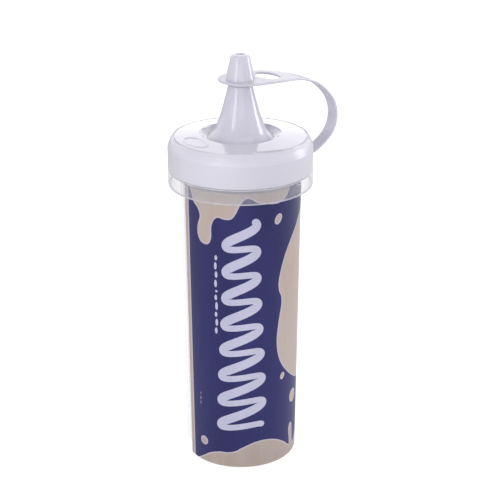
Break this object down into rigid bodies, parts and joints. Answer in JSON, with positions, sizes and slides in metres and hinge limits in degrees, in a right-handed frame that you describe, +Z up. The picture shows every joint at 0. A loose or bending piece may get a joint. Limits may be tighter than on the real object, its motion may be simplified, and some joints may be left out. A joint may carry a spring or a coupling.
{
  "type": "squeeze dispenser bottle",
  "caption": "Clear round squeeze bottle with a printed film wrap, a white screw lid with a tapering nozzle and a tip cap on a curved tether strap.",
  "frame": {"origin": "centre of the flat base, where the bottle stands", "axes": "+Z up along the bottle axis; the label's printed front faces -Y; the tether strap bows out in the vertical plane 30 degrees from +X towards +Y"},
  "size_m": [0.0748, 0.063, 0.1855],
  "materials": {
    "clear_plastic": "clear polypropylene, glossy",
    "label_film": "printed satin film",
    "white_plastic": "glossy moulded polypropylene",
    "strap_plastic": "flexible moulded polypropylene",
    "seal_foam": "matt elastomer"
  },
  "bodies": {
    "bottle": {"bottle": "clear_plastic", "label": "label_film"},
    "lid_seal": {"lid_seal": "seal_foam"},
    "lid": {"lid": "white_plastic"},
    "strap_1": {"strap_link_1": "strap_plastic"},
    "strap_2": {"strap_link_2": "strap_plastic"},
    "strap_3": {"strap_link_3": "strap_plastic"},
    "strap_4": {"strap_link_4": "strap_plastic"},
    "tip_cap": {"tip_cap": "white_plastic"}
  },
  "joints": [
    {"name": "lid_lift", "type": "slide", "parent": "bottle", "child": "lid_seal", "axis": [0, 0, 1], "range_m": [0, 0.008]},
    {"name": "lid_turn", "type": "hinge", "parent": "lid_seal", "child": "lid", "pos_m": [0, 0, 0.14], "axis": [0, 0, 1], "range_deg": [0, 721]},
    {"name": "strap_bend_1", "type": "hinge", "parent": "lid", "child": "strap_1", "pos_m": [0.03291, 0.019, 0.1394], "axis": [-0.5, 0.866, 0], "range_deg": [-15.3, 0.5]},
    {"name": "strap_bend_2", "type": "hinge", "parent": "strap_1", "child": "strap_2", "pos_m": [0.04062, 0.02345, 0.1492], "axis": [-0.5, 0.866, 0], "range_deg": [-0.5, 9]},
    {"name": "strap_bend_3", "type": "hinge", "parent": "strap_2", "child": "strap_3", "pos_m": [0.0407, 0.0235, 0.1574], "axis": [-0.5, 0.866, 0], "range_deg": [-0.5, 25.1]},
    {"name": "strap_bend_4", "type": "hinge", "parent": "strap_3", "child": "strap_4", "pos_m": [0.03672, 0.0212, 0.1649], "axis": [-0.5, 0.866, 0], "range_deg": [0, 37.9]},
    {"name": "cap_open", "type": "hinge", "parent": "strap_4", "child": "tip_cap", "pos_m": [0.0291, 0.0168, 0.1708], "axis": [-0.5, 0.866, 0], "range_deg": [-0.5, 48.2]}
  ],
  "couplings": [
    {"joint": "lid_turn", "follows": "lid_lift", "rad_per_m": 1570.8},
    {"joint": "strap_bend_1", "follows": "strap_bend_4", "ratio": -0.3905},
    {"joint": "strap_bend_2", "follows": "strap_bend_4", "ratio": 0.22427},
    {"joint": "strap_bend_3", "follows": "strap_bend_4", "ratio": 0.64908},
    {"joint": "cap_open", "follows": "strap_bend_4", "ratio": 1.2586}
  ]
}
